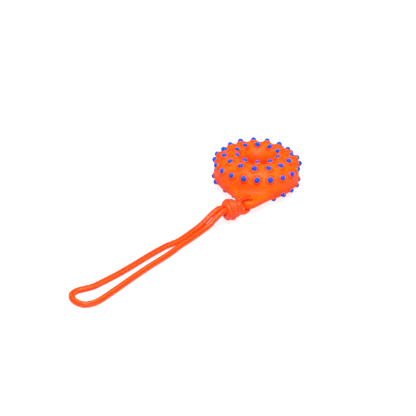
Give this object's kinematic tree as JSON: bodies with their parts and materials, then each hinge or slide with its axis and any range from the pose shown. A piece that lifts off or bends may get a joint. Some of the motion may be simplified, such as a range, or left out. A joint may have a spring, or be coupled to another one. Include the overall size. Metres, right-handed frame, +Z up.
{
  "type": "training bumper",
  "caption": "Soft hollow ring with conical nubs and coloured tips, a rope lug at its edge and a knotted hand loop of braided cord.",
  "frame": {"origin": "centre of the ring's middle hole, at half its height", "axes": "+Z up along the middle hole's axis, +Y from the rope lug's end through the ring's centre, so the lug points along -Y"},
  "size_m": [0.1732, 0.2983, 0.0398],
  "materials": {
    "ring_rubber": "satin moulded soft rubber, orange",
    "tip_rubber": "glossy blue soft rubber",
    "braided_cord": "tightly braided polyester cord, orange-red"
  },
  "bodies": {
    "ring": {"ring_body": "ring_rubber", "rope_lug": "ring_rubber", "tips_upper_outer": "tip_rubber", "tips_upper_shoulder": "tip_rubber", "tips_upper_crown": "tip_rubber", "tips_lower_outer": "tip_rubber", "tips_lower_shoulder": "tip_rubber", "tips_lower_crown": "tip_rubber"},
    "knot": {"rope_eye": "braided_cord", "rope_knot": "braided_cord"},
    "loop": {"hand_loop": "braided_cord"}
  },
  "joints": [
    {"name": "rope_swivel", "type": "hinge", "parent": "ring", "child": "knot", "pos_m": [0, -0.055, 0], "axis": [0, 0, 1], "range_deg": [-32, 108]},
    {"name": "loop_lift", "type": "hinge", "parent": "knot", "child": "loop", "pos_m": [-0.0221, -0.0827, -0.0048], "axis": [-0.7809, 0.6247, 0], "range_deg": [-60, 80]}
  ]
}
